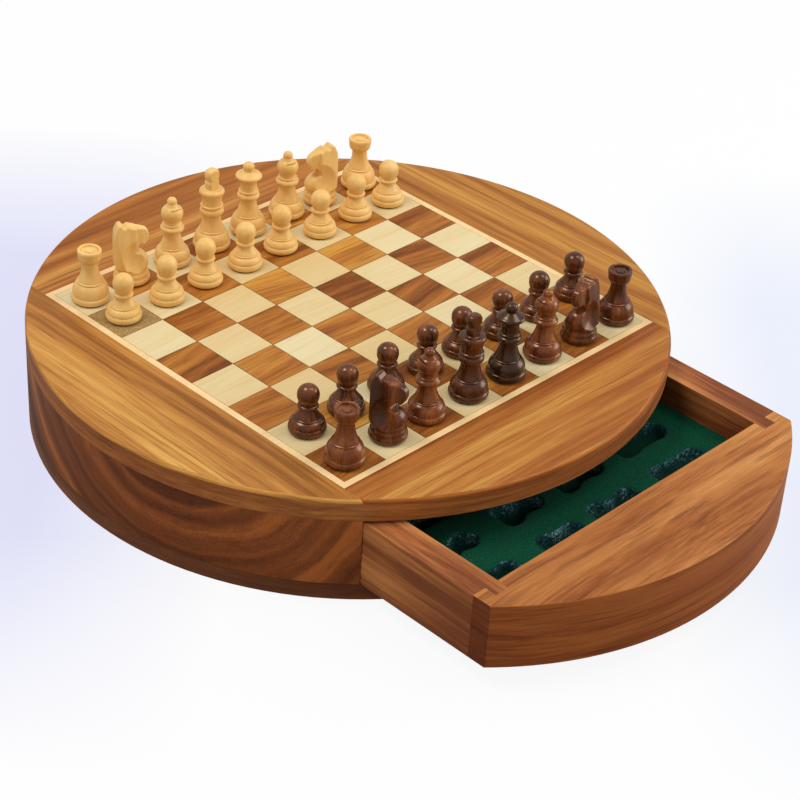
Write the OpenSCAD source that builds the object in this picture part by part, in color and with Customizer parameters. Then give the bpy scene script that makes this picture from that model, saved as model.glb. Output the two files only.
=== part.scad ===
// Round magnetic chess box with two drawers, millimetres, +Z up.
// The origin is the centre of the underside. The front drawer opens toward -Y, the rear one toward +Y.

/* [Case] */
// Diameter of the round case
case_dia = 305; // [304:0.5:316]
// Thickness of the base board
base_t = 8.5; // [6:0.5:14]
// Clear height of the drawer bay
bay_h = 34; // [33:0.5:44]
// Thickness of the whole top, with its face layer
top_t = 11; // [9:0.5:16]
// Thickness of the face layer: squares, stringing and borders
face_t = 2; // [1.5:0.1:3]
// Thickness of the wall between the two drawers
divider_t = 3; // [2:0.5:3]
// Radius of the rounded edge of the top face
top_arris = 1.4; // [0.4:0.1:1.5]
// Radius of the rounded edges of the base board and the drawer fronts
small_arris = 0.7; // [0.3:0.1:1.2]
// Radius of the eased edges along the rim, where one layer of the case meets the next
joint_arris = 0.3; // [0.1:0.05:0.4]

/* [Chess board] */
// Pitch of the squares
square = 24.7; // [24.2:0.1:24.8]
// Open seam between neighbouring squares
seam = 0.2; // [0.05:0.05:0.3]
// Width of the pale stringing round the squares
stringing_w = 3.3; // [2:0.1:3.6]
// Thickness of the steel sheet under the squares
steel_t = 0.5; // [0.3:0.1:1]

/* [Drawers] */
// How far the front drawer stands open
front_open = 72.8; // [0:0.1:100]
// How far the rear drawer stands open
rear_open = 0; // [0:0.1:100]
// Half of the drawer's outer width
drawer_half = 101.2; // [101:0.1:101.4]
// Room between the drawer and each side of its bay
side_play = 0.5; // [0.3:0.1:0.7]
// Room under the drawer
under_play = 0.3; // [0.3:0.1:0.5]
// Room above the drawer
over_play = 1.2; // [0.5:0.1:1.5]
// Room between the drawer's back and the divider
back_play = 1; // [0.5:0.1:2]
// Thickness of the drawer's sides
drawer_side_t = 14.7; // [13:0.1:15]
// Distance from the centre line to the flat inner face of the closed drawer's front block
chord_y = 104.3; // [104:0.1:105]
// Thickness of the drawer's back
drawer_back_t = 6; // [4:0.5:6]
// Thickness of the drawer's bottom
drawer_bottom_t = 3; // [2:0.5:4]
// Width of the tongue of each side, in its pocket in the front block
tongue_w = 7.5; // [5:0.5:9]
// Length of that tongue
tongue_l = 6; // [4:0.5:6]
// Width of the rebates that hold the bottom and the back
rebate_w = 5; // [3:0.5:6]

/* [Insert] */
// Distance from the drawer's top edge down to the felt
felt_down = 15.5; // [14:0.5:17]
// Depth of the recesses
recess_depth = 8; // [6:0.5:10]
// Width of a recess at a man's foot
recess_w = 13.8; // [12:0.2:15]
// Distance from the centre line to the row nearest the drawer's front
front_row_y = 90.2; // [90:0.1:91]
// Distance between the two front rows of recesses
front_pitch = 26.6; // [26:0.1:27]
// Distance between the other rows
rear_pitch = 22.5; // [22:0.1:22.8]
// Room between the insert and the drawer's walls
insert_play = 0.2; // [0.1:0.1:0.4]

/* [Chess men] */
// Height of a pawn
pawn_h = 23.7; // [23:0.1:24.2]
// Height of a rook
rook_h = 27; // [26:0.5:28]
// Height of a knight
knight_h = 31.2; // [30.8:0.1:32]
// Height of a bishop
bishop_h = 35.5; // [35.2:0.1:36.4]
// Height of a queen
queen_h = 38.4; // [38:0.1:39.2]
// Height of a king
king_h = 42.6; // [42.4:0.1:44]
// Thickness of the baize disc under each man
baize_t = 0.6; // [0.4:0.1:0.8]
// Diameter of the magnet in each man's foot
magnet_dia = 8; // [6:0.5:9]
// Thickness of that magnet
magnet_t = 2.5; // [1.5:0.5:2.5]
// Glue line between a man, its magnet and its baize disc
glue_t = 0.05; // [0.02:0.01:0.1]

/* [Hidden] */
$fn = 96;

case_r = case_dia / 2;
bay_top = base_t + bay_h;
top_z = bay_top + top_t;
face_z = top_z - face_t;
squares_half = 4 * square;
frame_half = squares_half + stringing_w;
bay_half = drawer_half + side_play;
drawer_z = base_t + under_play;
drawer_top = bay_top - over_play;
drawer_inner = drawer_half - drawer_side_t;
drawer_end_y = divider_t / 2 + back_play;
back_face_y = drawer_end_y + drawer_back_t;
bottom_top = drawer_z + drawer_bottom_t;
felt_z = drawer_top - felt_down;
recess_z = felt_z - recess_depth;
foot_z = baize_t + glue_t;

boxwood = [0.88, 0.71, 0.43];
rosewood = [0.27, 0.14, 0.08];
sheesham = [0.62, 0.37, 0.19];
maple = [0.93, 0.84, 0.64];
baize = [0.02, 0.29, 0.16];

// Points along a bow with half-axes rx and rz about the centre c, from angle a0 to a1
function bow(c, rx, rz, a0, a1, steps = 6) =
    [for (k = [0:steps]) let (a = a0 + (a1 - a0) * k / steps) [c[0] + rx * cos(a), c[1] + rz * sin(a)]];

// Points along a hollow flare that starts wide at p and ends at q, steepest near p
function flare(p, q, power = 2, steps = 6) =
    [
        for (k = [0:steps])
            let (t = k / steps)
            [q[0] + (p[0] - q[0]) * pow(1 - t, power), p[1] + (q[1] - p[1]) * t]
    ];

// ---------- Case ----------

// A disc between two heights, with its lower and upper edges rounded
module round_slab(z0, z1, low_r, high_r) {
    rotate_extrude($fn = 180)
        polygon(concat(
            [[0, z0]],
            low_r > 0 ? bow([case_r - low_r, z0 + low_r], low_r, low_r, -90, 0, 4) : [[case_r, z0]],
            high_r > 0 ? bow([case_r - high_r, z1 - high_r], high_r, high_r, 0, 90, 5) : [[case_r, z1]],
            [[0, z1]]
        ));
}

// A box from corner p to corner q
module block(p, q) {
    translate(p) cube(q - p);
}

module base_board() {
    color(sheesham) round_slab(0, base_t, small_arris, joint_arris);
}

// Solid D-shaped block beside the bay, on the side that s points to
module side_block(s) {
    color(sheesham) intersection() {
        round_slab(base_t, bay_top, joint_arris, joint_arris);
        mirror([s < 0 ? 1 : 0, 0, 0]) block([bay_half, -case_r, base_t], [case_r, case_r, bay_top]);
    }
}

module center_divider() {
    color(sheesham) block([-bay_half, -divider_t / 2, base_t], [bay_half, divider_t / 2, bay_top]);
}

module top_core() {
    color(sheesham) difference() {
        round_slab(bay_top, face_z, joint_arris, joint_arris / 2);
        block([-squares_half, -squares_half, face_z - steel_t], [squares_half, squares_half, face_z + 1]);
    }
}

module steel_sheet() {
    color("silver")
        block([-squares_half, -squares_half, face_z - steel_t], [squares_half, squares_half, face_z]);
}

// The squares whose column and row add up to an even number (0) or an odd one (1)
module squares(parity) {
    side = square - seam;
    for (i = [0:7], j = [0:7])
        if ((i + j) % 2 == parity)
            translate([(i - 4) * square + seam / 2, (j - 4) * square + seam / 2, face_z])
                cube([side, side, face_t]);
}

// Four strips that follow one another round the squares
module stringing() {
    color(maple) for (k = [0:3])
        rotate([0, 0, 90 * k])
            block([-frame_half, -frame_half, face_z], [squares_half, -squares_half, top_z]);
}

// Face piece between the front or rear stringing and the rim, as wide as the frame
module border_cross(s) {
    color(sheesham) intersection() {
        round_slab(face_z, top_z, joint_arris / 2, top_arris);
        mirror([0, s < 0 ? 1 : 0, 0]) block([-frame_half, frame_half, face_z], [frame_half, case_r, top_z]);
    }
}

// Face piece on the left or right, whose straight edge runs on to the rim
module border_side(s) {
    color(sheesham) intersection() {
        round_slab(face_z, top_z, joint_arris / 2, top_arris);
        mirror([s < 0 ? 1 : 0, 0, 0]) block([frame_half, -case_r, face_z], [case_r, case_r, top_z]);
    }
}

// ---------- Drawers, closed, with the front toward -Y ----------

module drawer_block() {
    pocket_y = chord_y + tongue_l;
    rebate_x = drawer_inner + rebate_w;
    color(sheesham) difference() {
        intersection() {
            round_slab(drawer_z, drawer_top, small_arris, small_arris);
            block([-drawer_half, -case_r, drawer_z], [drawer_half, -chord_y, drawer_top]);
        }
        for (s = [0, 1])
            mirror([s, 0, 0])
                block(
                    [drawer_inner, -pocket_y, drawer_z - 1],
                    [drawer_inner + tongue_w, -chord_y + 1, drawer_top + 1]
                );
        block([-rebate_x, -chord_y - rebate_w, drawer_z - 1], [rebate_x, 0, bottom_top]);
    }
}

// One side with its tongue and the rebates for the bottom and the back
module drawer_side(s) {
    color(sheesham) mirror([s < 0 ? 1 : 0, 0, 0]) difference() {
        union() {
            block([drawer_inner, -chord_y, drawer_z], [drawer_half, -drawer_end_y, drawer_top]);
            block(
                [drawer_inner, -chord_y - tongue_l, drawer_z],
                [drawer_inner + tongue_w, -chord_y, drawer_top]
            );
        }
        block([0, -case_r, drawer_z - 1], [drawer_inner + rebate_w, 0, bottom_top]);
        block([0, -back_face_y, drawer_z - 1], [drawer_inner + rebate_w, 0, drawer_top + 1]);
    }
}

module drawer_back() {
    half = drawer_inner + rebate_w;
    color(sheesham) block([-half, -back_face_y, bottom_top], [half, -drawer_end_y, drawer_top]);
}

module drawer_bottom() {
    half = drawer_inner + rebate_w;
    color(maple) block([-half, -chord_y - rebate_w, drawer_z], [half, -drawer_end_y, bottom_top]);
}

// ---------- Insert ----------

// Outline of a lying man: foot at x = 0, waist, and a round head toward +x
module recess_outline(length, waist_w, head_w) {
    foot_l = 7;
    corner = 2.5;
    waist_x = 11;
    half = recess_w / 2;
    translate([corner, -half]) square([foot_l - corner, recess_w]);
    translate([0, corner - half]) square([foot_l, recess_w - 2 * corner]);
    for (s = [-1, 1]) translate([corner, s * (half - corner)]) circle(corner, $fn = 32);
    polygon([[foot_l, -half], [waist_x, -waist_w / 2], [waist_x, waist_w / 2], [foot_l, half]]);
    translate([waist_x - 0.5, -waist_w / 2]) square([length - head_w / 2 - waist_x + 0.5, waist_w]);
    translate([length - head_w / 2, 0]) circle(head_w / 2, $fn = 48);
}

// Two pawns head to head in one recess
module double_outline(length, waist_w, head_w) {
    for (k = [0, 1])
        translate([k * length, 0]) mirror([k, 0]) recess_outline((length + head_w) / 2, waist_w, head_w);
}

// Recess kinds as [length, width at the waist, width at the head]
pawn_slot = [24.5, 8.5, 11];
rook_slot = [28.5, 9, 12];
knight_slot = [32.5, 12, 13];
bishop_slot = [37.5, 9, 12.5];
queen_slot = [40.5, 9.5, 13.4];
king_slot = [44.5, 9.5, 12.4];
pair_slot = [49.5, 8.5, 11];

// Rows of recesses from the drawer's back to its front, each as [kind, x of the foot]
recess_rows = [
    [[king_slot, -82], [queen_slot, -28], [pair_slot, 23]],
    [[bishop_slot, -82], [bishop_slot, -34], [pawn_slot, 14], [pawn_slot, 52]],
    [[pawn_slot, -80.5], [pawn_slot, -39], [rook_slot, -2.5], [knight_slot, 38.5]],
    [[pawn_slot, -80.5], [pawn_slot, -39.5], [rook_slot, -5.5], [knight_slot, 38]]
];

// Distance of each of these rows from the centre line
row_y = [
    front_row_y - front_pitch - 2 * rear_pitch,
    front_row_y - front_pitch - rear_pitch,
    front_row_y - front_pitch,
    front_row_y
];

module drawer_insert() {
    half = drawer_inner - insert_play;
    color(baize) difference() {
        block([-half, -chord_y + insert_play, bottom_top], [half, -back_face_y - insert_play, felt_z]);
        for (row = [0:len(recess_rows) - 1], slot = recess_rows[row])
            translate([slot[1], -row_y[row], recess_z])
                linear_extrude(recess_depth + 1)
                    if (slot[0] == pair_slot) double_outline(slot[0][0], slot[0][1], slot[0][2]);
                    else recess_outline(slot[0][0], slot[0][1], slot[0][2]);
    }
}

// Puts a drawer's piece in the front bay or, turned round, in the rear one
module in_front() {
    translate([0, -front_open, 0]) children();
}

module in_rear() {
    translate([0, rear_open, 0]) rotate([0, 0, 180]) children();
}

// ---------- Chess men, standing on z = 0 ----------

// Foot of every turned man: thick disc, groove, dome and, at step_z, the step ring that the stem grows from
function foot(r, step_r, step_z) = concat(
    [[r - 0.9, foot_z]],
    bow([r - 0.8, foot_z + 1.55], 0.8, 1.55, -75, 75, 6),
    [[r - 0.9, foot_z + 3.25]],
    bow([step_r - 0.6, 4.2], r - step_r, step_z - 4.6, 0, 72, 7),
    bow([step_r - 0.4, step_z], 0.7, 0.5, -50, 90, 4)
);

// Turned body from an outline that runs up from the foot, with a blind hole for the magnet
module turned(outline, height) {
    hole_r = magnet_dia / 2 + glue_t;
    hole_z = foot_z + magnet_t + 2 * glue_t;
    rotate_extrude($fn = 64)
        polygon(concat(outline, [[0, height], [0, hole_z], [hole_r, hole_z], [hole_r, foot_z]]));
}

// Magnet and baize disc in and under the foot of a man of base radius r
module weight_and_felt(r) {
    translate([0, 0, foot_z + glue_t]) cylinder(h = magnet_t, d = magnet_dia, $fn = 48);
    cylinder(h = baize_t, r = r - 1.2, $fn = 64);
}

function pawn_outline(r) = concat(
    foot(r, 5.9, 7.5),
    flare([5.7, 8.1], [3.5, 12.1], 1.3, 4),
    bow([3.6, 13.2], 1.15, 1, -70, 80, 5),
    bow([0.3, 19], 4.7, 6.4, -37, -8, 4),
    bow([0.3, 19], 4.7, pawn_h - 19, 0, 89, 8)
);

function rook_outline(r) = concat(
    foot(r, 6.2, 10.5),
    flare([5.8, 11.2], [3.8, 18.6], 1.8, 6),
    [[3.8, 20.6], [4.9, 21.5], [5.4, 22.5], [5.8, rook_h - 0.5], [5.5, rook_h]],
    [[4.3, rook_h], [4.1, rook_h - 0.9], [2.3, rook_h - 0.9], [2, rook_h - 0.4]]
);

function bishop_outline(r) = concat(
    foot(r, 6.1, 9.2),
    flare([5.9, 9.8], [3.7, 17.5], 1.6, 6),
    bow([4.5, 19.2], 1.35, 1.3, -80, 75, 6),
    bow([4.1, 21.4], 0.7, 0.5, -60, 80, 4),
    [[4, 22.6]],
    bow([0.6, 27.2], 4.8, 5.2, -42, -8, 5),
    bow([0.6, 27.2], 4.8, 4.2, 0, 60, 6),
    bow([0, bishop_h - 2.2], 2.4, 2.2, -25, 89, 6)
);

function queen_outline(r) = concat(
    foot(r, 6.3, 9.9),
    flare([6, 10.6], [3.9, 18.4], 1.7, 6),
    bow([4.3, 20.4], 1.35, 1.5, -80, 75, 6),
    bow([4.2, 23], 0.8, 0.6, -60, 80, 4),
    [[4.1, 24.2], [4.2, 28], [5.6, 29.8]],
    bow([5, 31], 1.6, 1.2, -50, 70, 6),
    [[4.2, 33], [2.6, 33.9]],
    bow([0.2, queen_h - 2.5], 2.7, 2.5, -30, 89, 7)
);

function king_outline(r) = concat(
    foot(r, 6.3, 9.9),
    flare([6, 10.6], [4.3, 17.8], 1.7, 6),
    bow([4.6, 20.3], 1.35, 1.9, -75, 75, 6),
    bow([4.7, 23.3], 0.9, 0.7, -60, 75, 4),
    [[4.9, 24.6], [4.9, 26.6]],
    flare([5, 27.2], [5.5, 28.9], 0.8, 2),
    bow([4.9, 30.6], 1.3, 1.5, -65, 70, 6),
    [[3.7, 32.1], [3.2, 32.4], [3.3, 33.4], [3.5, 34.6]],
    [[3.5, 36], [2.9, 36.8], [2.9, 37.4], [3.6, 38.4], [3.6, 40.6]],
    bow([0, king_h - 1.3], 3.3, 1.3, 0, 89, 5)
);

module bishop_body(r) {
    slit_w = 0.7;
    difference() {
        turned(bishop_outline(r), bishop_h);
        translate([3, 0, 29.6]) rotate([0, -25, 0]) translate([0, -6, -slit_w / 2]) cube([12, 12, slit_w]);
    }
}

// The knob has two flats, so that it reads as a cross from the front
module king_body(r) {
    difference() {
        turned(king_outline(r), king_h);
        for (s = [0, 1])
            mirror([0, s, 0]) block([-6, 2.3, 32.6], [6, 6, king_h + 1]);
    }
}

// Side view of the knight's head and neck, nose toward +x
knight_side = concat(
    [[-8, 8.6], [-8.6, 11], [-8.7, 17], [-8.5, 23], [-7.9, 27.4], [-6.9, 30.2]],
    [[-6, knight_h], [-4.9, knight_h], [-4, knight_h - 1.5], [-3.1, knight_h - 2.1], [-2.2, knight_h - 1]],
    [[-1.2, knight_h - 0.9], [-0.2, knight_h - 1.7]],
    bow([4.9, 24.6], 3.6, 3.9, 88, -35, 7),
    [[7.2, 20.6], [6.2, 19.7], [5.2, 19.9], [4.6, 20.8], [3.8, 20.3], [2.8, 18.9], [1.7, 17.6]],
    [[1.6, 16.2], [1.6, 8.6]]
);

// Foot, platform and chest are turned, and the chest is the dome that the head and neck rise from
module knight_body(r) {
    platform_r = 8.2;
    platform_z = 10;
    chest_h = 6.4;
    difference() {
        union() {
            turned(
                concat(
                    foot(r, 7.4, 7.1),
                    [[7.1, 7.7], [platform_r - 0.2, 8.4]],
                    bow([2, platform_z], platform_r - 2, chest_h, 0, 80, 7)
                ),
                platform_z + chest_h
            );
            intersection() {
                rotate([90, 0, 0]) linear_extrude(2 * r, center = true) polygon(knight_side);
                cylinder(h = knight_h, r = 8.8, $fn = 64);
            }
        }
        for (s = [0, 1])
            mirror([0, s, 0]) {
                // Flat that narrows the neck and head from the platform up
                translate([0, 7.6, platform_z]) rotate([12.5, 0, 0]) block([-12, 0, 0], [12, 12, 40]);
                // Hollow beside the mane, from the chest up to the cheek
                translate([3.6, 18, 17.2]) sphere(r = 14.6);
                // Muzzle that narrows toward the nose
                translate([2, 3.5, 17.6]) rotate([4, 0, -12]) block([0, 0, 0], [14, 9, 20]);
            }
    }
}

pawn_r = 8.6;
rook_r = 9.2;
knight_r = 8.9;
bishop_r = 9.2;
queen_r = 9.3;
king_r = 9.3;

// A man of the given kind in the given wood
module man(kind, wood) {
    r = kind == "pawn" ? pawn_r
        : kind == "rook" ? rook_r
        : kind == "knight" ? knight_r
        : kind == "bishop" ? bishop_r
        : kind == "queen" ? queen_r
        : king_r;
    color(wood) {
        if (kind == "pawn") turned(pawn_outline(r), pawn_h);
        if (kind == "rook") turned(rook_outline(r), rook_h - 0.4);
        if (kind == "knight") knight_body(r);
        if (kind == "bishop") bishop_body(r);
        if (kind == "queen") turned(queen_outline(r), queen_h);
        if (kind == "king") king_body(r);
        weight_and_felt(r);
    }
}

// Puts a man on the square in column i from the left and row j from the front, moved off its centre
// by nudge and turned to the given heading
module on_square(i, j, nudge = [0, 0], heading = 0) {
    translate([(i - 3.5) * square + nudge[0], (j - 3.5) * square + nudge[1], top_z])
        rotate([0, 0, heading]) children();
}

base_board();
side_block(-1);  // side_block_left
side_block(1);  // side_block_right
center_divider();
top_core();
steel_sheet();
color(maple) squares(1);  // light_squares
color(sheesham) squares(0);  // dark_squares
stringing();
border_cross(-1);  // border_front
border_cross(1);  // border_rear
border_side(-1);  // border_left
border_side(1);  // border_right

in_front() drawer_block();  // front_drawer_block
in_front() drawer_side(-1);  // front_drawer_side_left
in_front() drawer_side(1);  // front_drawer_side_right
in_front() drawer_back();  // front_drawer_back
in_front() drawer_bottom();  // front_drawer_bottom
in_front() drawer_insert();  // front_drawer_insert
in_rear() drawer_block();  // rear_drawer_block
in_rear() drawer_side(-1);  // rear_drawer_side_left
in_rear() drawer_side(1);  // rear_drawer_side_right
in_rear() drawer_back();  // rear_drawer_back
in_rear() drawer_bottom();  // rear_drawer_bottom
in_rear() drawer_insert();  // rear_drawer_insert

on_square(7, 7, [2.2, -0.6]) man("rook", boxwood);  // white_rook_a
on_square(6, 7, [-0.6, -0.4], 172) man("knight", boxwood);  // white_knight_b
on_square(5, 7, [1.7, 0.3], -100) man("bishop", boxwood);  // white_bishop_c
on_square(4, 7, [0, 0.1]) man("queen", boxwood);  // white_queen
on_square(3, 7, [0.8, 0.2]) man("king", boxwood);  // white_king
on_square(2, 7, [0.8, 0.8], -95) man("bishop", boxwood);  // white_bishop_f
on_square(1, 7, [-0.3, 0.3], -28) man("knight", boxwood);  // white_knight_g
on_square(0, 7, [-1.7, -1.3]) man("rook", boxwood);  // white_rook_h
on_square(7, 6, [0.7, 1.1]) man("pawn", boxwood);  // white_pawn_a
on_square(6, 6, [2.3, 1.1]) man("pawn", boxwood);  // white_pawn_b
on_square(5, 6, [1.5, 0.3]) man("pawn", boxwood);  // white_pawn_c
on_square(4, 6, [0.4, 0.9]) man("pawn", boxwood);  // white_pawn_d
on_square(3, 6, [0.7, 0]) man("pawn", boxwood);  // white_pawn_e
on_square(2, 6, [0.6, 0.8]) man("pawn", boxwood);  // white_pawn_f
on_square(1, 6, [0.7, 0]) man("pawn", boxwood);  // white_pawn_g
on_square(0, 6, [-0.4, 0.5]) man("pawn", boxwood);  // white_pawn_h

on_square(7, 0, [4.2, -1.4]) man("rook", rosewood);  // black_rook_a
on_square(6, 0, [2.6, -1.4], 190) man("knight", rosewood);  // black_knight_b
on_square(5, 0, [2.6, -0.4], 175) man("bishop", rosewood);  // black_bishop_c
on_square(4, 0, [2.1, -0.7]) man("queen", rosewood);  // black_queen
on_square(3, 0, [1.7, -0.8]) man("king", rosewood);  // black_king
on_square(2, 0, [-0.1, 0.1], 165) man("bishop", rosewood);  // black_bishop_f
on_square(1, 0, [0.6, -0.4], -74) man("knight", rosewood);  // black_knight_g
on_square(0, 0, [-1.4, -1]) man("rook", rosewood);  // black_rook_h
on_square(7, 1, [4, 1.6]) man("pawn", rosewood);  // black_pawn_a
on_square(6, 1, [2.2, 0.4]) man("pawn", rosewood);  // black_pawn_b
on_square(5, 1, [1.4, 0.6]) man("pawn", rosewood);  // black_pawn_c
on_square(4, 1, [0.3, 2]) man("pawn", rosewood);  // black_pawn_d
on_square(3, 1, [1.9, 1.7]) man("pawn", rosewood);  // black_pawn_e
on_square(2, 1, [2, 2.4]) man("pawn", rosewood);  // black_pawn_f
on_square(1, 1, [0.8, 1.5]) man("pawn", rosewood);  // black_pawn_g
on_square(0, 1, [1.9, 1.3]) man("pawn", rosewood);  // black_pawn_h
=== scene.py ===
import math

import bpy
import numpy as np
from mathutils import Matrix, Vector
from mathutils.bvhtree import BVHTree


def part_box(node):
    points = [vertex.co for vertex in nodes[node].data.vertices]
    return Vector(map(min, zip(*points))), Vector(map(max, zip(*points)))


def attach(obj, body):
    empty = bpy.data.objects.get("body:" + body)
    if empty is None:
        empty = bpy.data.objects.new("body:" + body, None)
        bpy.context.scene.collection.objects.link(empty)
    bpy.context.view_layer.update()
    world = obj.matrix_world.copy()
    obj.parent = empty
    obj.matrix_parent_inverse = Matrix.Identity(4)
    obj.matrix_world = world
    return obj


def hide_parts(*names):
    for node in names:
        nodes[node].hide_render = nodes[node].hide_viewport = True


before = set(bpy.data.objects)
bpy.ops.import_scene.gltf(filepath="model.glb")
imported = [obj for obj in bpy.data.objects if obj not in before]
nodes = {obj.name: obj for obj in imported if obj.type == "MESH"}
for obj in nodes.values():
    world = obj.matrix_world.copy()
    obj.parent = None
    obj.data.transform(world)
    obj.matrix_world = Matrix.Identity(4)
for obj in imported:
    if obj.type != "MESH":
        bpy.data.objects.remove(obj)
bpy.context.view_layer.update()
mm = 0.001
print("frame loaded")


def linearColour(hexCode):
    channels = [int(hexCode[k:k + 2], 16) / 255 for k in (1, 3, 5)]
    return tuple(c / 12.92 if c <= 0.04045 else ((c + 0.055) / 1.055) ** 2.4 for c in channels) + (1,)


# Adds a node, sets its properties, and fills its inputs with values, with other nodes' outputs, or with a
# node, which stands for its first output. By number, a colour mix has its factor at 0, the colours at 6 and 7
# and its result at 2, and a map range has the value at 0, the range it comes from at 1 and 2, and the range
# it goes to at 3 and 4, each 0 to 1 where nothing is given.
def addNode(tree, kind, inputs=None, **settings):
    node = tree.nodes.new(kind)
    for name, value in settings.items():
        setattr(node, name, value)
    for socket, source in (inputs or {}).items():
        if isinstance(source, bpy.types.Node):
            source = source.outputs[0]
        if isinstance(source, bpy.types.NodeSocket):
            tree.links.new(source, node.inputs[socket])
        else:
            node.inputs[socket].default_value = source
    return node


def setStops(ramp, stops):
    elements = ramp.color_ramp.elements
    while len(elements) < len(stops):
        elements.new(0.5)
    for element, (position, hexCode) in zip(elements, stops):
        element.position = position
        element.color = linearColour(hexCode)
    return ramp


def emptyMaterial(name):
    material = bpy.data.materials.new(name)
    material.use_nodes = True
    material.node_tree.nodes.clear()
    return material, material.node_tree


# Sheesham (Indian rosewood), sanded and lacquered satin: golden brown planks with dark growth lines and
# fine fibres along the grain. Widths are across the grain in millimetres, aspect squeezes the pattern
# along the grain (x) and across it (y, z), and lineMask says where a dark line begins and where it is full.
sheesham = {
    "stops": [(0.0, "#824A1C"), (0.3, "#AA6B2C"), (0.55, "#C2853E"), (0.8, "#D09549"), (1.0, "#DDA658")],
    "lineColour": "#713D17",
    "aspect": (0.045, 1, 1),
    "bandWidth": 17,
    "bandSpread": (0.3, 0.7),
    "lineWidth": 2.4,
    "lineMask": (0.5, 0.66),
    "lineStrength": 0.5,
    "fibreWidth": 0.7,
    "fibreStrength": 0.4,
    "wander": 3,
    "roughness": (0.42, 0.58),
    "shine": 0.2,
    "shineTint": "#FFEBD6",
    "coat": 0.0,
    "coatRoughness": 0.2,
    "bump": 0.05,
}

# What every wood here shares
figure = {
    "driftWidth": 40,                 # millimetres from one bend of the grain to the next
    "driftStretch": (0.35, 1, 1),
    "band": {"Detail": 3, "Roughness": 0.55},
    "line": {"Detail": 3, "Roughness": 0.62},
    "fibre": {"Detail": 2, "Roughness": 0.6},
    "ringLines": 0.3,                 # how much of the straight lines shows among growth rings
    "fibreSpread": (0.3, 0.7),
    "polishSpread": (0.35, 0.7),
    "relief": 0.35,
    "endLean": (0.9, 0.96),           # how squarely a face looks along x to count as a sawn end
    "innerLean": (-20, -50),          # lean along x times the distance from the middle, millimetres
    "tileJump": 900,                  # millimetres between the places that two tiles are cut from
    "toneSeed": (7, 5, 3),            # moves to another random draw, for a tile's tone
    "glueFade": 0.3,                  # share of the glue line's width, at a tile's edge, that is full
    "glueStrength": 0.6,
    "speckleWidth": 0.9,              # millimetres, on the odd tile
}

turnX = (0, 0, 0)
turnY = (0, 0, -math.pi / 2)
turnZ = (0, math.pi / 2, 0)


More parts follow.
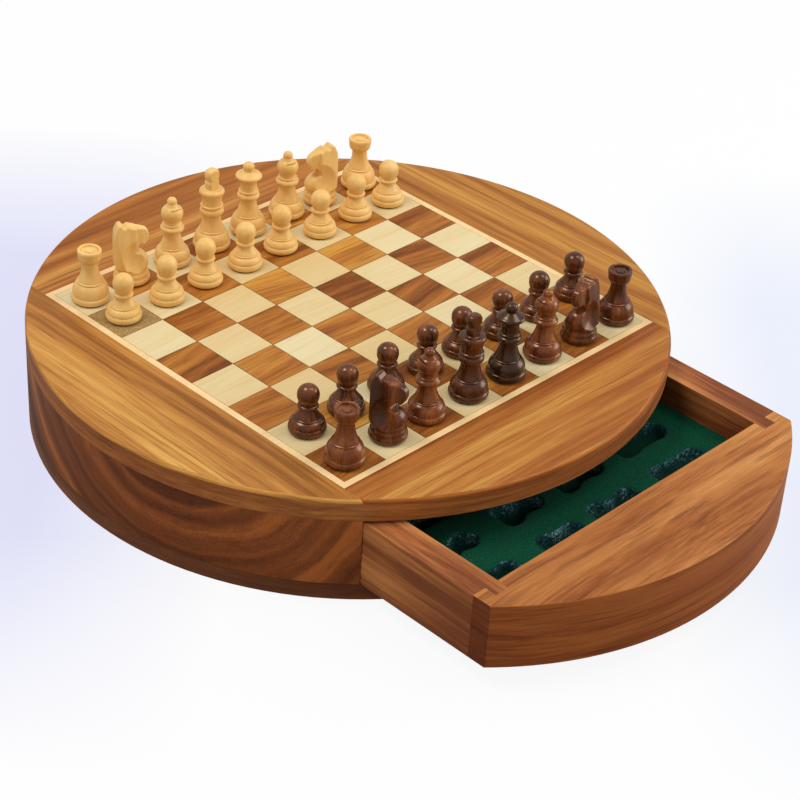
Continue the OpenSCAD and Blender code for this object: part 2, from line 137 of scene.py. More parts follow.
# Wood whose grain runs along one axis. The pattern is drawn on space squeezed along the grain, so that long
# grain shows as streaks. pith puts growth rings round a line along the grain, sapwoodAndShading lightens or
# darkens the wood from one place on an axis to another (paler sapwood on some boards, painted light and shade
# on others), and squares gives each tile of the board its own cut of veneer, with the dark line of the glue
# along its edges. A look may also have
#   sideAspect, another squeeze for upright faces, sideShadeTint, a painted shade that darkens the upright
#     faces, and sideLean, between which leans of the surface these set in,
#   endTint, which darkens the sawn ends that look along x,
#   innerShadeTint, a painted shade that darkens the walls inside a drawer toward its back, and innerDepth,
#     where that begins and is full, in millimetres from the middle of the case.
def woodMaterial(name, look, turn=turnX, offset=(0, 0, 0), pith=None, sapwoodAndShading=None, squares=None):
    material, tree = emptyMaterial(name)
    place = addNode(tree, "ShaderNodeTexCoord").outputs["Object"]
    placeParts = addNode(tree, "ShaderNodeSeparateXYZ", {0: place}).outputs
    normal = addNode(tree, "ShaderNodeNewGeometry").outputs["Normal"]
    facing = addNode(tree, "ShaderNodeSeparateXYZ", {0: normal}).outputs

    start = addNode(tree, "ShaderNodeVectorMath", {0: place, 1: [v * mm for v in offset]}, operation="ADD")
    tileTone = 0.0
    if squares:
        cell = addNode(tree, "ShaderNodeVectorMath", {0: place, "Scale": 1 / squares["pitch"]},
                       operation="SCALE")
        corner = addNode(tree, "ShaderNodeVectorMath", {0: cell}, operation="FLOOR")
        flatCorner = addNode(tree, "ShaderNodeVectorMath", {0: corner, 1: (1, 1, 0)}, operation="MULTIPLY")
        seeded = addNode(tree, "ShaderNodeVectorMath", {0: flatCorner, 1: squares["seed"]}, operation="ADD")
        cut = addNode(tree, "ShaderNodeTexWhiteNoise", {"Vector": seeded}, noise_dimensions="3D").outputs
        jump = addNode(tree, "ShaderNodeVectorMath", {0: cut["Color"], "Scale": figure["tileJump"] * mm},
                       operation="SCALE")
        moved = addNode(tree, "ShaderNodeVectorMath", {0: start, 1: jump}, operation="ADD")
        swing = addNode(tree, "ShaderNodeMapRange",
                        {0: cut["Value"], 3: -squares["swing"], 4: squares["swing"]})
        start = addNode(tree, "ShaderNodeVectorRotate", {"Vector": moved, "Angle": swing},
                        rotation_type="Z_AXIS")
        seededAgain = addNode(tree, "ShaderNodeVectorMath", {0: seeded, 1: figure["toneSeed"]},
                              operation="ADD")
        shade = addNode(tree, "ShaderNodeTexWhiteNoise", {"Vector": seededAgain}, noise_dimensions="3D")
        tileTone = addNode(tree, "ShaderNodeMapRange", {
            0: shade.outputs["Value"], 3: -squares["toneSpread"], 4: squares["toneSpread"]})

    along = addNode(tree, "ShaderNodeMapping", {"Vector": start, "Rotation": turn})
    stretched = addNode(tree, "ShaderNodeVectorMath", {0: along, 1: figure["driftStretch"]},
                        operation="MULTIPLY")
    drift = addNode(tree, "ShaderNodeTexNoise", {
        "Vector": stretched, "Scale": 1 / (figure["driftWidth"] * mm), "Detail": 2}).outputs["Color"]
    centred = addNode(tree, "ShaderNodeVectorMath", {0: drift, 1: (0.5, 0.5, 0.5)}, operation="SUBTRACT")
    wander = addNode(tree, "ShaderNodeVectorMath", {0: centred, "Scale": look["wander"] * 2 * mm},
                     operation="SCALE")
    bent = addNode(tree, "ShaderNodeVectorMath", {0: along, 1: wander}, operation="ADD")
    aspect = look["aspect"]
    if "sideAspect" in look:
        leanFrom, leanTo = look["sideLean"]
        upright = addNode(tree, "ShaderNodeMapRange", {0: facing["Z"], 1: leanFrom, 2: leanTo})
        aspect = addNode(tree, "ShaderNodeMix", {0: upright, 6: (*aspect, 1), 7: (*look["sideAspect"], 1)},
                         data_type="RGBA").outputs[2]
    grainSpace = addNode(tree, "ShaderNodeVectorMath", {0: bent, 1: aspect}, operation="MULTIPLY")
    bandSpace = lineSpace = grainSpace
    if pith:
        fromPith = addNode(tree, "ShaderNodeVectorMath", {0: bent, 1: [v * mm for v in pith["centre"]]},
                           operation="SUBTRACT")
        leaned = addNode(tree, "ShaderNodeVectorMath", {0: fromPith, 1: (pith["lean"], 1, 1)},
                         operation="MULTIPLY")
        radius = addNode(tree, "ShaderNodeVectorMath", {0: leaned}, operation="LENGTH").outputs["Value"]
        bandSpace = addNode(tree, "ShaderNodeCombineXYZ", {"X": radius})
        straight = addNode(tree, "ShaderNodeVectorMath", {0: grainSpace, "Scale": figure["ringLines"]},
                           operation="SCALE")
        lineSpace = addNode(tree, "ShaderNodeVectorMath", {0: bandSpace, 1: straight}, operation="ADD")
    bands, lines, fibres = (
        addNode(tree, "ShaderNodeTexNoise", {
            "Vector": space, "Scale": 1 / (look[layer + "Width"] * mm), **figure[layer]})
        for layer, space in (("band", bandSpace), ("line", lineSpace), ("fibre", grainSpace)))

    bandFrom, bandTo = look["bandSpread"]
    tone = addNode(tree, "ShaderNodeMapRange", {0: bands, 1: bandFrom, 2: bandTo})
    tone = addNode(tree, "ShaderNodeMath", {0: tone, 1: tileTone}, operation="ADD")
    fibreFrom, fibreTo = figure["fibreSpread"]
    fineTone = addNode(tree, "ShaderNodeMapRange", {
        0: fibres, 1: fibreFrom, 2: fibreTo, 3: -0.5 * look["fibreStrength"], 4: 0.5 * look["fibreStrength"]})
    tone = addNode(tree, "ShaderNodeMath", {0: tone, 1: fineTone}, operation="ADD")
    # Lighter or darker from one place on an axis to another: paler sapwood on some boards, painted light and
    # shade on others
    if sapwoodAndShading:
        paler = addNode(tree, "ShaderNodeMapRange", {
            0: placeParts[sapwoodAndShading["axis"]], 1: sapwoodAndShading["from"] * mm, 2: sapwoodAndShading["to"] * mm,
            4: sapwoodAndShading["tone"]})
        tone = addNode(tree, "ShaderNodeMath", {0: tone, 1: paler}, operation="ADD")
    colour = setStops(addNode(tree, "ShaderNodeValToRGB", {"Fac": tone}), look["stops"])
    maskFrom, maskTo = look["lineMask"]
    lineMask = addNode(tree, "ShaderNodeMapRange", {
        0: lines, 1: maskFrom, 2: maskTo, 4: look["lineStrength"]})
    colour = addNode(tree, "ShaderNodeMix", {0: lineMask, 6: colour, 7: linearColour(look["lineColour"])},
                     data_type="RGBA").outputs[2]

    tints = []
    # Painted shade on the upright faces
    if "sideAspect" in look:
        tints.append((upright, look["sideShadeTint"]))
    if "endTint" in look:
        endFrom, endTo = figure["endLean"]
        alongX = addNode(tree, "ShaderNodeMath", {0: facing["X"]}, operation="ABSOLUTE")
        sawnEnd = addNode(tree, "ShaderNodeMapRange", {0: alongX, 1: endFrom, 2: endTo})
        tints.append((sawnEnd, look["endTint"]))
    # Painted shade on the walls inside a drawer, toward its back
    if "innerShadeTint" in look:
        innerFrom, innerTo = figure["innerLean"]
        depthFrom, depthTo = look["innerDepth"]
        inward = addNode(tree, "ShaderNodeMath", {0: facing["X"], 1: placeParts["X"]}, operation="MULTIPLY")
        onWall = addNode(tree, "ShaderNodeMapRange", {0: inward, 1: innerFrom * mm, 2: innerTo * mm})
        fromMiddle = addNode(tree, "ShaderNodeMath", {0: placeParts["Y"]}, operation="ABSOLUTE")
        inDepth = addNode(tree, "ShaderNodeMapRange", {0: fromMiddle, 1: depthFrom * mm, 2: depthTo * mm})
        inner = addNode(tree, "ShaderNodeMath", {0: onWall, 1: inDepth}, operation="MULTIPLY")
        tints.append((inner, look["innerShadeTint"]))
    for mask, tint in tints:
        colour = addNode(tree, "ShaderNodeMix", {0: mask, 6: colour, 7: linearColour(tint)},
                         data_type="RGBA", blend_type="MULTIPLY").outputs[2]

    if squares and "oddTile" in squares:
        away = addNode(tree, "ShaderNodeVectorMath", {0: flatCorner, 1: squares["oddTile"]},
                       operation="DISTANCE").outputs["Value"]
        isOdd = addNode(tree, "ShaderNodeMapRange", {0: away, 1: 0.5, 2: 0.4})  # the next tiles are 1 away
        speckle = addNode(tree, "ShaderNodeTexNoise", {
            "Vector": place, "Scale": 1 / (figure["speckleWidth"] * mm), "Detail": 2})
        oddColour = setStops(addNode(tree, "ShaderNodeValToRGB", {"Fac": speckle}), squares["oddStops"])
        colour = addNode(tree, "ShaderNodeMix", {0: isOdd, 6: colour, 7: oddColour},
                         data_type="RGBA").outputs[2]
    if squares:
        inCell = addNode(tree, "ShaderNodeVectorMath", {0: cell}, operation="FRACTION")
        offCentre = addNode(tree, "ShaderNodeVectorMath", {0: inCell, 1: (0.5, 0.5, 0.5)},
                            operation="SUBTRACT")
        aside = addNode(tree, "ShaderNodeVectorMath", {0: offCentre}, operation="ABSOLUTE")
        asideParts = addNode(tree, "ShaderNodeSeparateXYZ", {0: aside}).outputs
        toEdge = addNode(tree, "ShaderNodeMath", {0: asideParts["X"], 1: asideParts["Y"]},
                         operation="MAXIMUM")
        glueWidth = squares["glueLine"] * mm / squares["pitch"]
        glue = addNode(tree, "ShaderNodeMapRange", {
            0: toEdge, 1: 0.5 - glueWidth, 2: 0.5 - figure["glueFade"] * glueWidth,
            4: figure["glueStrength"]})
        colour = addNode(tree, "ShaderNodeMix", {0: glue, 6: colour, 7: linearColour(squares["glueColour"])},
                         data_type="RGBA").outputs[2]

    polishFrom, polishTo = figure["polishSpread"]
    smoothest, roughest = look["roughness"]
    roughness = addNode(tree, "ShaderNodeMapRange", {
        0: fibres, 1: polishFrom, 2: polishTo, 3: smoothest, 4: roughest})
    height = addNode(tree, "ShaderNodeMath", {0: fibres, 1: lines}, operation="ADD")
    bump = addNode(tree, "ShaderNodeBump", {
        "Strength": figure["relief"], "Distance": look["bump"] * mm, "Height": height}, invert=True)
    shader = addNode(tree, "ShaderNodeBsdfPrincipled", {
        "Base Color": colour, "Roughness": roughness, "IOR": 1.5, "Specular IOR Level": look["shine"],
        "Specular Tint": linearColour(look["shineTint"]), "Normal": bump,
        "Coat Weight": look["coat"], "Coat Roughness": look["coatRoughness"]})
    addNode(tree, "ShaderNodeOutputMaterial", {"Surface": shader})
    return material


def paint(name, material):
    slots = nodes[name].data.materials
    slots.clear()
    slots.append(material)


# The four face pieces: each from another plank
plankLeft = {
    **sheesham, "aspect": (0.028, 1, 0.12), "bandWidth": 8, "bandSpread": (0.26, 0.74), "lineWidth": 1.5,
    # a faint painted shade on the upright rim
    "sideAspect": (0.03, 0.08, 0.5), "sideShadeTint": "#FFF6EE", "sideLean": (0.97, 0.87),
    "fibreWidth": 0.55, "fibreStrength": 0.26,
    "stops": [(0.0, "#7A461B"), (0.3, "#9B6229"), (0.55, "#B37635"), (0.8, "#C68C43"), (1.0, "#D7A252")]}
plankRight = {**plankLeft, "stops": [(0.0, "#7D481A"), (0.35, "#A06226"), (0.6, "#B47834"), (1.0, "#C79040")]}
plankFront = {
    **plankLeft, "bandWidth": 10, "lineWidth": 1.7, "lineColour": "#7E4019",
    "stops": [(0.0, "#6C3514"), (0.3, "#8E4C1E"), (0.5, "#A05D26"), (0.75, "#B47533"), (1.0, "#CB9549")]}
plankRear = {
    **plankLeft, "bandWidth": 9, "lineWidth": 2.2, "lineStrength": 0.65, "lineColour": "#7D431C",
    "stops": [(0.0, "#864719"), (0.35, "#A46225"), (0.65, "#B97735"), (1.0, "#D49D4E")]}
paint("border_left", woodMaterial("sheesham plank, lacquered, left", plankLeft, turnY,
                                  sapwoodAndShading={"axis": "X", "from": -108, "to": -148, "tone": 0.22}))
paint("border_right", woodMaterial("sheesham plank, lacquered, right", plankRight, turnY, (310, 40, 0)))
paint("border_front", woodMaterial("sheesham plank, lacquered, front", plankFront, turnX, (90, 236, 0),
                                   sapwoodAndShading={"axis": "Y", "from": -108, "to": -146, "tone": 0.16}))
paint("border_rear", woodMaterial("sheesham plank, lacquered, rear", plankRear, turnX, (500, 130, 0)))

# Rim of the top and of the base: the edge of the boards, darker than their faces
edgeLook = {
    **sheesham, "lineColour": "#5C2F18", "aspect": (0.03, 0.08, 1), "bandWidth": 9, "lineWidth": 1.8,
    "lineStrength": 0.4, "fibreWidth": 0.6,
    "stops": [(0.0, "#7B4421"), (0.35, "#9B5A2D"), (0.65, "#AF6D36"), (1.0, "#C68747")]}
baseLook = {**edgeLook, "stops": [(0.0, "#59301C"), (0.4, "#6C3D25"), (0.7, "#7B482B"), (1.0, "#8C5532")]}
# Painted shade: the rim of the top turns darker toward its left end
paint("top_core", woodMaterial("sheesham edge, lacquered", edgeLook, turnX, (40, 0, 7),
                               sapwoodAndShading={"axis": "X", "from": -100, "to": -150, "tone": -0.3}))
paint("base_board", woodMaterial("sheesham base, lacquered", baseLook, turnX, (140, 60, 3)))
paint("center_divider", woodMaterial("sheesham wall, sanded", edgeLook, turnX, (0, 500, 0)))

# Side blocks: the round cuts through the growth rings, which gives broad dark sweeps that hang like arches,
# and toward the bay of the open drawer the colour turns lighter and a warmer orange
blockLook = {
    **sheesham, "lineColour": "#3C1B0C", "aspect": (0.2, 1, 0.6), "bandWidth": 15, "bandSpread": (0.35, 0.63),
    "lineWidth": 3, "lineStrength": 0.26, "wander": 6, "fibreStrength": 0.24,
    "stops": [(0.0, "#3A190C"), (0.25, "#5A2A14"), (0.5, "#783E1C"), (0.75, "#8B4A21"), (1.0, "#AB602A")]}
blockTurn = (0, 0, -math.pi / 4)
paint("side_block_left", woodMaterial(
    "sheesham block, left", blockLook, blockTurn, pith={"centre": (-120, 70, 75), "lean": 0.3},
    sapwoodAndShading={"axis": "Y", "from": -50, "to": -105, "tone": 0.3}))
paint("side_block_right", woodMaterial(
    "sheesham block, right", blockLook, blockTurn, pith={"centre": (120, -60, 80), "lean": 0.3},
    sapwoodAndShading={"axis": "Y", "from": 50, "to": 105, "tone": 0.3}))

# Dark squares: sliced sheesham veneer, each tile with its own cut and turn, and one odd tile of a greyer wood
squarePitch = 24.7 * mm
tileLook = {
    **sheesham, "lineColour": "#64310F", "bandWidth": 9, "bandSpread": (0.26, 0.74), "lineWidth": 1.6,
    "lineStrength": 0.45, "fibreWidth": 0.55, "fibreStrength": 0.32, "aspect": (0.05, 1, 1),
    "stops": [(0.0, "#6F3A15"), (0.25, "#8F511C"), (0.5, "#A96728"), (0.75, "#B87830"), (1.0, "#CC933F")]}
paint("dark_squares", woodMaterial(
    "sheesham veneer, lacquered", tileLook, turnX, squares={
        "pitch": squarePitch, "seed": (3.3, 8.1, 2.7), "toneSpread": 0.26, "swing": 0.2,
        "glueLine": 0.35, "glueColour": "#4F2A12",
        "oddTile": (-4, 2, 0), "oddStops": [(0.3, "#8F6D40"), (0.55, "#A58553"), (0.8, "#BC9E6C")]}))

# Light squares: maple veneer, pale with hardly any figure
mapleLook = {
    **sheesham, "lineColour": "#BF9A60", "bandWidth": 14, "bandSpread": (0.1, 0.9), "lineWidth": 1.8,
    "lineStrength": 0.18, "fibreStrength": 0.18,
    "stops": [(0.0, "#D6B87E"), (0.35, "#D9BF8A"), (0.65, "#DCC795"), (1.0, "#DFCEA1")]}
paint("light_squares", woodMaterial("maple veneer, lacquered", mapleLook, turnX, squares={
    "pitch": squarePitch, "seed": (1.3, 4.1, 9.7), "toneSpread": 0.42, "swing": 0.1,
    "glueLine": 0.35, "glueColour": "#8A6238"}))
stringingLook = {**mapleLook, "stops": [(0.0, "#E3BE82"), (0.5, "#EECB94"), (1.0, "#F4D8A4")]}
paint("stringing", woodMaterial("boxwood stringing, lacquered", stringingLook, turnX))

# Rolled steel sheet, hidden under the squares
steel, steelTree = emptyMaterial("mild steel sheet, rolled")
steelShader = addNode(steelTree, "ShaderNodeBsdfPrincipled", {
    "Base Color": linearColour("#B9BBBD"), "Metallic": 1.0, "Roughness": 0.4})
addNode(steelTree, "ShaderNodeOutputMaterial", {"Surface": steelShader})
paint("steel_sheet", steel)
print("case dressed")

# Drawer front: flat-sawn, so its figure lies in long level bands on the arc, which a painted shade darkens
frontLook = {
    **sheesham, "lineColour": "#5C2B10", "aspect": (0.03, 0.6, 1),
    "sideAspect": (0.02, 0.06, 1), "sideShadeTint": "#E6CBB6", "sideLean": (0.75, 0.6), "endTint": "#C2B2A8",
    "bandWidth": 10, "bandSpread": (0.26, 0.74), "lineWidth": 1.7, "wander": 4, "fibreWidth": 0.55,
    "stops": [(0.0, "#7E431B"), (0.3, "#9A5829"), (0.55, "#AC6A35"), (0.8, "#B8773E"), (1.0, "#C8894C")]}
# Drawer walls: thin boards of a redder sheesham, sanded, with a painted shade on their inner faces toward the
# back
wallLook = {
    **sheesham, "lineColour": "#542A14", "innerShadeTint": "#A39A90", "aspect": (0.03, 0.6, 1),
    "bandWidth": 8, "lineWidth": 1.7,
    "stops": [(0.0, "#7A4122"), (0.35, "#A05E33"), (0.65, "#B77442"), (1.0, "#CC8B51")]}
for drawer, seed, innerDepth in (("front_drawer", 0, (152, 134)), ("rear_drawer", 700, (79, 61))):
    # Painted light: the drawer front turns lighter toward its right end
    paint(drawer + "_block", woodMaterial(
        drawer + " front, sheesham, lacquered", frontLook, turnX, (seed, 33, 0),
        sapwoodAndShading={"axis": "X", "from": 20, "to": 100, "tone": 0.35}))
    drawerWall = {**wallLook, "innerDepth": innerDepth}
    for side, slip in (("left", 0), ("right", 90)):
        paint(drawer + "_side_" + side, woodMaterial(
            drawer + " side, sheesham, lacquered, " + side, drawerWall, turnY, (seed + slip, 0, 0),
            sapwoodAndShading={"axis": "Y", "from": -128, "to": -172, "tone": -0.5}))
    paint(drawer + "_back", woodMaterial(drawer + " back, sheesham", drawerWall, turnX, (seed, 210, 0)))
    paint(drawer + "_bottom", woodMaterial(drawer + " bottom, birch plywood", mapleLook, turnX, (seed, 0, 0)))

# Flocked velvet over a recessed board: dark green pile, with a painted sheen, speckled bluish white, on the
# recess walls where light catches the pile, and painted shade deep in the recesses. Widths and depths below
# the felt's top are in millimetres, wallLean says between which leans a wall's colour sets in.
velvetLook = {
    "top": [(0.3, "#023624"), (0.5, "#03432D"), (0.7, "#065037")],
    # wall: a painted sheen, bluish white where light catches the pile on the recess walls
    "wall": [(0.36, "#06302A"), (0.5, "#12423F"), (0.6, "#4C7D86"), (0.72, "#BCD4D8")],
    # floor: a painted shade, the colour deep in the recesses
    "floor": "#052A20",
    "pileWidth": 0.8,
    "speckleWidth": 1.1,
    "patchWidth": 7,
    "patchSpread": (0.35, 0.65),
    "patchStrength": 0.07,
    "wallLean": (0.93, 0.6),
    "wallDepth": (0.1, 0.8),
    "shadeFrom": 1.6,
    "shadeAboveFloor": 1.5,
    "shadeStrength": 0.85,
    "roughness": 0.95,
    "shine": 0.15,
    "pileHeight": 0.3,
    "relief": 0.5,
    "sheen": 0.02,
    "sheenRoughness": 0.4,
    "sheenTint": "#9FC7B0",
}


def velvetMaterial(name, look, feltTop, recessFloor):
    material, tree = emptyMaterial(name)
    place = addNode(tree, "ShaderNodeTexCoord").outputs["Object"]
    pile = addNode(tree, "ShaderNodeTexNoise", {
        "Vector": place, "Scale": 1 / (look["pileWidth"] * mm), "Detail": 3})
    speckle = addNode(tree, "ShaderNodeTexNoise", {
        "Vector": place, "Scale": 1 / (look["speckleWidth"] * mm), "Detail": 4, "Roughness": 0.78})
    patch = addNode(tree, "ShaderNodeTexNoise", {
        "Vector": place, "Scale": 1 / (look["patchWidth"] * mm), "Detail": 2})
    patchFrom, patchTo = look["patchSpread"]
    patchTone = addNode(tree, "ShaderNodeMapRange", {
        0: patch, 1: patchFrom, 2: patchTo, 3: -look["patchStrength"], 4: look["patchStrength"]})
    # Painted sheen on the recess walls: speckled, bluish white where light catches the pile
    wallSheen = addNode(tree, "ShaderNodeMath", {0: speckle, 1: patchTone}, operation="ADD")
    topColour = setStops(addNode(tree, "ShaderNodeValToRGB", {"Fac": pile}), look["top"])
    wallColour = setStops(addNode(tree, "ShaderNodeValToRGB", {"Fac": wallSheen}), look["wall"])

    normal = addNode(tree, "ShaderNodeNewGeometry").outputs["Normal"]
    lean = addNode(tree, "ShaderNodeSeparateXYZ", {0: normal}).outputs["Z"]
    height = addNode(tree, "ShaderNodeSeparateXYZ", {0: place}).outputs["Z"]
    leanFrom, leanTo = look["wallLean"]
    depthFrom, depthTo = look["wallDepth"]
    steep = addNode(tree, "ShaderNodeMapRange", {0: lean, 1: leanFrom, 2: leanTo})
    below = addNode(tree, "ShaderNodeMapRange", {
        0: height, 1: feltTop - depthFrom * mm, 2: feltTop - depthTo * mm})
    onWall = addNode(tree, "ShaderNodeMath", {0: steep, 1: below}, operation="MULTIPLY")
    # Painted shade: darker deep in the recesses, toward the floor colour
    deep = addNode(tree, "ShaderNodeMapRange", {
        0: height, 1: feltTop - look["shadeFrom"] * mm, 2: recessFloor + look["shadeAboveFloor"] * mm,
        4: look["shadeStrength"]})
    colour = addNode(tree, "ShaderNodeMix", {0: onWall, 6: topColour, 7: wallColour},
                     data_type="RGBA").outputs[2]
    colour = addNode(tree, "ShaderNodeMix", {0: deep, 6: colour, 7: linearColour(look["floor"])},
                     data_type="RGBA").outputs[2]
    bump = addNode(tree, "ShaderNodeBump", {
        "Strength": look["relief"], "Distance": look["pileHeight"] * mm, "Height": pile})
    shader = addNode(tree, "ShaderNodeBsdfPrincipled", {
        "Base Color": colour, "Roughness": look["roughness"], "Specular IOR Level": look["shine"],
        "Normal": bump, "Sheen Weight": look["sheen"], "Sheen Roughness": look["sheenRoughness"],
        "Sheen Tint": linearColour(look["sheenTint"])})
    addNode(tree, "ShaderNodeOutputMaterial", {"Surface": shader})
    return material


# grid and the blurs are in millimetres, edge is the share of the blurred step that is cut off at each end,
# and sag is the share of the depth that leans in far from the wall
velvetInsert = {"grid": 0.6, "edgeBlur": 0.9, "edge": 0.1, "sagBlur": 2.6, "sag": 0.3}


def blurred(field, width):
    reach = int(3 * width) + 1
    weights = np.exp(-0.5 * (np.arange(-reach, reach + 1) / width) ** 2)
    weights /= weights.sum()
    for axis in (0, 1):
        padded = np.pad(field, [(reach, reach) if a == axis else (0, 0) for a in (0, 1)], mode="edge")
        field = np.apply_along_axis(lambda row: np.convolve(row, weights, mode="valid"), axis, padded)
    return field


# Velvet laid over the recessed board of a node: it follows the recesses with round edges and leaning walls
def velvetMesh(name, node, size):
    low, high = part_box(node)
    step = size["grid"] * mm
    xs = np.linspace(low.x, high.x, int((high.x - low.x) / step) + 1)
    ys = np.linspace(low.y, high.y, int((high.y - low.y) / step) + 1)
    board = BVHTree.FromPolygons([v.co for v in nodes[node].data.vertices],
                                 [list(p.vertices) for p in nodes[node].data.polygons])
    down = Vector((0, 0, -1))
    inset = 0.01 * mm  # rays at the very edge would miss the board
    rayX = [min(max(x, low.x + inset), high.x - inset) for x in xs]
    rayY = [min(max(y, low.y + inset), high.y - inset) for y in ys]
    heights = np.array([[board.ray_cast(Vector((x, y, high.z + mm)), down)[0].z for y in rayY] for x in rayX])
    floor = heights.min()
    opened = (high.z - heights) / (high.z - floor)
    sharp = blurred(opened, size["edgeBlur"] / size["grid"])
    sharp = np.clip((sharp - size["edge"]) / (1 - 2 * size["edge"]), 0, 1)
    soft = blurred(opened, size["sagBlur"] / size["grid"])
    depth = (1 - size["sag"]) * sharp * sharp * (3 - 2 * sharp) + size["sag"] * soft * soft
    heights = high.z - (high.z - floor) * depth

    gridX, gridY = np.meshgrid(xs, ys, indexing="ij")
    count = len(xs) * len(ys)
    index = np.arange(count).reshape(len(xs), len(ys))
    vertices = np.stack([gridX, gridY, heights], axis=-1).reshape(-1, 3).tolist()
    corners = [index[:-1, :-1], index[1:, :-1], index[1:, 1:], index[:-1, 1:]]
    faces = np.stack(corners, axis=-1).reshape(-1, 4).tolist()
    rim = [int(k) for k in [*index[:, 0], *index[-1, 1:], *index[-2::-1, -1], *index[0, -2:0:-1]]]
    vertices += [[vertices[k][0], vertices[k][1], low.z] for k in rim]
    smoothCount = len(faces)
    for k in range(len(rim)):
        following = (k + 1) % len(rim)
        faces.append([rim[following], rim[k], count + k, count + following])
    faces.append([count + k for k in reversed(range(len(rim)))])
    mesh = bpy.data.meshes.new(name)
    mesh.from_pydata(vertices, [], faces)
    mesh.polygons.foreach_set("use_smooth", [k < smoothCount for k in range(len(faces))])
    piece = bpy.data.objects.new(name, mesh)
    bpy.context.scene.collection.objects.link(piece)
    return piece, high.z, floor


for drawer in ("front_drawer", "rear_drawer"):
    velvet, feltTop, recessFloor = velvetMesh(drawer + "_velvet", drawer + "_insert", velvetInsert)
    velvet.data.materials.append(
        velvetMaterial("flocked velvet, " + drawer, velvetLook, feltTop, recessFloor))
    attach(velvet, drawer)
    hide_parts(drawer + "_insert")
print("drawers dressed")

# Turned boxwood, waxed to a satin
boxwood = {
    **sheesham, "lineColour": "#C48C42", "aspect": (0.11, 1, 1), "bandWidth": 8, "bandSpread": (0.2, 0.8),
    "lineWidth": 1.4, "lineStrength": 0.16, "fibreWidth": 0.5, "fibreStrength": 0.14, "wander": 1.5,
    "roughness": (0.34, 0.42), "shine": 0.4, "shineTint": "#FFEFD2", "bump": 0.015,
    "stops": [(0.0, "#E0AB5C"), (0.5, "#EBBD70"), (1.0, "#F2CC86")]}
# Turned rosewood, stained dark and lacquered: clear highlights over brown streaks. The men were turned from
# different sticks, some redder and some nearly black.
rosewood = {
    **sheesham, "lineColour": "#260F05", "aspect": (0.1, 1, 1), "bandWidth": 6, "lineWidth": 1.2,
    "fibreWidth": 0.5, "fibreStrength": 0.3, "wander": 2, "roughness": (0.2, 0.3),
    "shine": 0.7, "shineTint": "#FFD0AE", "coat": 0.09, "coatRoughness": 0.1, "bump": 0.02,
    "stops": [(0.0, "#2F1204"), (0.45, "#54260D"), (0.8, "#6E3815"), (1.0, "#8B5224")]}
rosewoodRed = {
    **rosewood, "lineColour": "#3A1608",
    "stops": [(0.0, "#4C200C"), (0.45, "#703716"), (0.8, "#894A1D"), (1.0, "#A2602B")]}
rosewoodDeep = {
    **rosewood, "lineColour": "#1A0A03",
    "stops": [(0.0, "#220C03"), (0.45, "#401C0A"), (0.8, "#572B10"), (1.0, "#6E3F1B")]}
rosewoodBlack = {
    **rosewood, "lineColour": "#0C0502", "stops": [(0.0, "#160A03"), (0.5, "#261407"), (1.0, "#3D2210")]}
oddSticks = {
    "black_rook_h": rosewoodRed, "black_bishop_f": rosewoodRed, "black_bishop_c": rosewoodRed,
    "black_king": rosewoodDeep, "black_queen": rosewoodBlack}

# Wool baize, pressed and stamped into discs: dull green, seen only when a man is lifted
baizeLook = {"colour": "#1F4A30", "roughness": 0.95, "sheen": 0.3, "reach": 0.62}  # reach in millimetres
baize, baizeTree = emptyMaterial("baize disc, pressed wool")
baizeShader = addNode(baizeTree, "ShaderNodeBsdfPrincipled", {
    "Base Color": linearColour(baizeLook["colour"]), "Roughness": baizeLook["roughness"],
    "Sheen Weight": baizeLook["sheen"]})
addNode(baizeTree, "ShaderNodeOutputMaterial", {"Surface": baizeShader})
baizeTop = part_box("white_rook_a")[0].z + baizeLook["reach"] * mm

# Rounds the shading across the narrow bands that a turned profile is made of
turning = {"weld": 0.002, "sharpFrom": 38}  # millimetres and degrees
rounding = bpy.data.node_groups.new("smooth turned bands", "GeometryNodeTree")
rounding.interface.new_socket("Geometry", in_out="INPUT", socket_type="NodeSocketGeometry")
rounding.interface.new_socket("Geometry", in_out="OUTPUT", socket_type="NodeSocketGeometry")
entry = addNode(rounding, "NodeGroupInput")
welded = addNode(rounding, "GeometryNodeMergeByDistance", {
    "Geometry": entry, "Distance": turning["weld"] * mm})
edgeAngle = addNode(rounding, "GeometryNodeInputMeshEdgeAngle").outputs["Unsigned Angle"]
gentle = addNode(rounding, "FunctionNodeCompare", {0: edgeAngle, 1: math.radians(turning["sharpFrom"])},
                 operation="LESS_THAN")
smoothEdges = addNode(rounding, "GeometryNodeSetShadeSmooth", {0: welded, "Shade Smooth": gentle},
                      domain="EDGE")
smoothFaces = addNode(rounding, "GeometryNodeSetShadeSmooth", {0: smoothEdges, "Shade Smooth": True},
                      domain="FACE")
addNode(rounding, "NodeGroupOutput", {0: smoothFaces})

# Puts the baize back under a man whose faces were made anew
bottoms = bpy.data.node_groups.new("baize under the foot", "GeometryNodeTree")
bottoms.interface.new_socket("Geometry", in_out="INPUT", socket_type="NodeSocketGeometry")
bottoms.interface.new_socket("Geometry", in_out="OUTPUT", socket_type="NodeSocketGeometry")
entry = addNode(bottoms, "NodeGroupInput")
position = addNode(bottoms, "GeometryNodeInputPosition")
height = addNode(bottoms, "ShaderNodeSeparateXYZ", {0: position}).outputs["Z"]
under = addNode(bottoms, "FunctionNodeCompare", {0: height, 1: baizeTop}, operation="LESS_THAN")
dressed = addNode(bottoms, "GeometryNodeSetMaterial", {
    "Geometry": entry, "Selection": under, "Material": baize})
addNode(bottoms, "NodeGroupOutput", {0: dressed})

# Knights are carved by hand, so their edges are worn soft
carving = {"grid": 0.33, "softness": 0.6, "passes": 12}


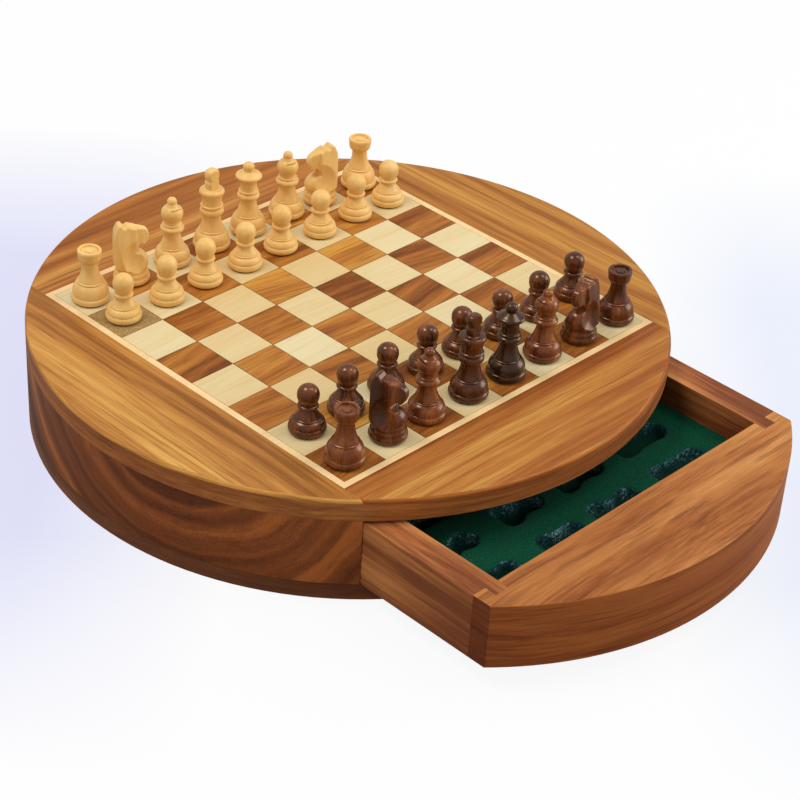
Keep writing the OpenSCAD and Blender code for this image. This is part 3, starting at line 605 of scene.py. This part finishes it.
def softenCarving(man):
    remesh = man.modifiers.new("even faces", "REMESH")
    remesh.mode = "VOXEL"
    remesh.voxel_size = carving["grid"] * mm
    remesh.use_smooth_shade = True
    soften = man.modifiers.new("worn edges", "SMOOTH")
    soften.factor = carving["softness"]
    soften.iterations = carving["passes"]
    man.modifiers.new("baize under the foot", "NODES").node_group = bottoms


men = sorted(name for name in nodes if name.startswith(("white_", "black_")))
for k, name in enumerate(men):
    look = boxwood if name.startswith("white_") else oddSticks.get(name, rosewood)
    paint(name, woodMaterial("turned wood, " + name, look, turnZ, (37 * k, 61 * k, 0)))
    man = nodes[name]
    if "knight" in name:
        softenCarving(man)
        continue
    man.data.materials.append(baize)
    for polygon in man.data.polygons:
        if all(man.data.vertices[v].co.z < baizeTop for v in polygon.vertices):
            polygon.material_index = 1
    man.modifiers.new("smooth turned bands", "NODES").node_group = rounding
print("men dressed")

# Angles in degrees, place in metres, focal length and sensor in millimetres
cameraSet = {"azimuth": -47.1822, "elevation": 33.951, "roll": 3.7391,
             "place": (-0.6341, -0.62362, 0.60151), "focal": 98.892, "sensor": 36}
camera = bpy.data.objects.new("camera", bpy.data.cameras.new("camera"))
bpy.context.scene.collection.objects.link(camera)
camera.data.sensor_width = cameraSet["sensor"]
camera.data.lens = cameraSet["focal"]
camera.matrix_world = (
    Matrix.Translation(cameraSet["place"])
    @ Matrix.Rotation(math.radians(cameraSet["azimuth"]), 4, "Z")
    @ Matrix.Rotation(math.radians(90 - cameraSet["elevation"]), 4, "X")
    @ Matrix.Rotation(math.radians(cameraSet["roll"]), 4, "Z"))
bpy.context.scene.camera = camera

# White paper, tinted pale lavender on both sides of the case. The lens sees it lifted to its colour, with
# the shadow kept; light that bounces off it is weaker, so that the upright faces stay deep. Lengths are in
# metres.
floorLook = {
    "across": [(0.23, "#E0E1F8"), (0.41, "#FDFDFD"), (0.8, "#FDFDFD"), (0.93, "#EBEFFB")],
    "reach": 0.25,
    "deep": (0.12, 0.27),
    "middle": "#FDFDFD",
    "lift": 0.93,
    "bounce": "#B0ACA6",
    "half": 6,
    "below": 0.0001,
}
half = floorLook["half"]
floorMesh = bpy.data.meshes.new("floor")
floorMesh.from_pydata([(-half, -half, 0), (half, -half, 0), (half, half, 0), (-half, half, 0)], [],
                      [(0, 1, 2, 3)])
floor = bpy.data.objects.new("floor", floorMesh)
floor.location.z = -floorLook["below"]
bpy.context.scene.collection.objects.link(floor)
paper, paperTree = emptyMaterial("white paper sweep")
spot = addNode(paperTree, "ShaderNodeTexCoord").outputs["Object"]
ahead = math.radians(cameraSet["azimuth"])
offside = addNode(paperTree, "ShaderNodeVectorMath", {0: spot, 1: (math.cos(ahead), math.sin(ahead), 0)},
                  operation="DOT_PRODUCT").outputs["Value"]
behind = addNode(paperTree, "ShaderNodeVectorMath", {0: spot, 1: (-math.sin(ahead), math.cos(ahead), 0)},
                 operation="DOT_PRODUCT").outputs["Value"]
fromLeft = addNode(paperTree, "ShaderNodeMapRange", {
    0: offside, 1: -floorLook["reach"], 2: floorLook["reach"]})
tint = setStops(addNode(paperTree, "ShaderNodeValToRGB", {"Fac": fromLeft}), floorLook["across"])
fromMiddle = addNode(paperTree, "ShaderNodeMath", {0: behind}, operation="ABSOLUTE")
deepFrom, deepTo = floorLook["deep"]
farOff = addNode(paperTree, "ShaderNodeMapRange", {0: fromMiddle, 1: deepFrom, 2: deepTo})
tint = addNode(paperTree, "ShaderNodeMix", {0: farOff, 6: tint, 7: linearColour(floorLook["middle"])},
               data_type="RGBA").outputs[2]
rays = addNode(paperTree, "ShaderNodeLightPath").outputs
mattTint = addNode(paperTree, "ShaderNodeMix", {
    0: rays["Is Camera Ray"], 6: linearColour(floorLook["bounce"]), 7: tint}, data_type="RGBA").outputs[2]
matt = addNode(paperTree, "ShaderNodeBsdfDiffuse", {"Color": mattTint})
glow = addNode(paperTree, "ShaderNodeEmission", {"Color": tint, "Strength": 1.0})
seen = addNode(paperTree, "ShaderNodeMath", {0: rays["Is Camera Ray"], 1: floorLook["lift"]},
               operation="MULTIPLY")
paperShader = addNode(paperTree, "ShaderNodeMixShader", {0: seen, 1: matt, 2: glow})
addNode(paperTree, "ShaderNodeOutputMaterial", {"Surface": paperShader})
floorMesh.materials.append(paper)

# White where the lens sees it past the paper, and weaker as a light
skyLook = {"seen": 1.0, "light": 0.62}
world = bpy.data.worlds.new("studio")
bpy.context.scene.world = world
world.use_nodes = True
sky = world.node_tree.nodes["Background"]
sky.inputs["Color"].default_value = (1, 1, 1, 1)
skyRays = addNode(world.node_tree, "ShaderNodeLightPath").outputs
skyStrength = addNode(world.node_tree, "ShaderNodeMapRange", {
    0: skyRays["Is Camera Ray"], 3: skyLook["light"], 4: skyLook["seen"]})
world.node_tree.links.new(skyStrength.outputs[0], sky.inputs["Strength"])

# Soft boxes, metres and watts, all turned to the middle of the case
lamps = {
    "key": {"place": (-0.45, 0.35, 1.25), "size": 0.42, "power": 6.4},
    "fill": {"place": (0.55, -0.45, 1.3), "size": 0.5, "power": 3.8},
    "side": {"place": (1.1, -0.75, 0.5), "size": 0.8, "power": 7.5},
}
lampAim = Vector((0, -0.05, 0.05))
for name, lamp in lamps.items():
    light = bpy.data.lights.new(name, "AREA")
    light.shape = "SQUARE"
    light.size = lamp["size"]
    light.energy = lamp["power"]
    holder = bpy.data.objects.new(name, light)
    holder.location = lamp["place"]
    holder.rotation_euler = (lampAim - Vector(lamp["place"])).to_track_quat("-Z", "Y").to_euler()
    bpy.context.scene.collection.objects.link(holder)

bpy.context.scene.view_settings.view_transform = "Standard"
print("studio ready")
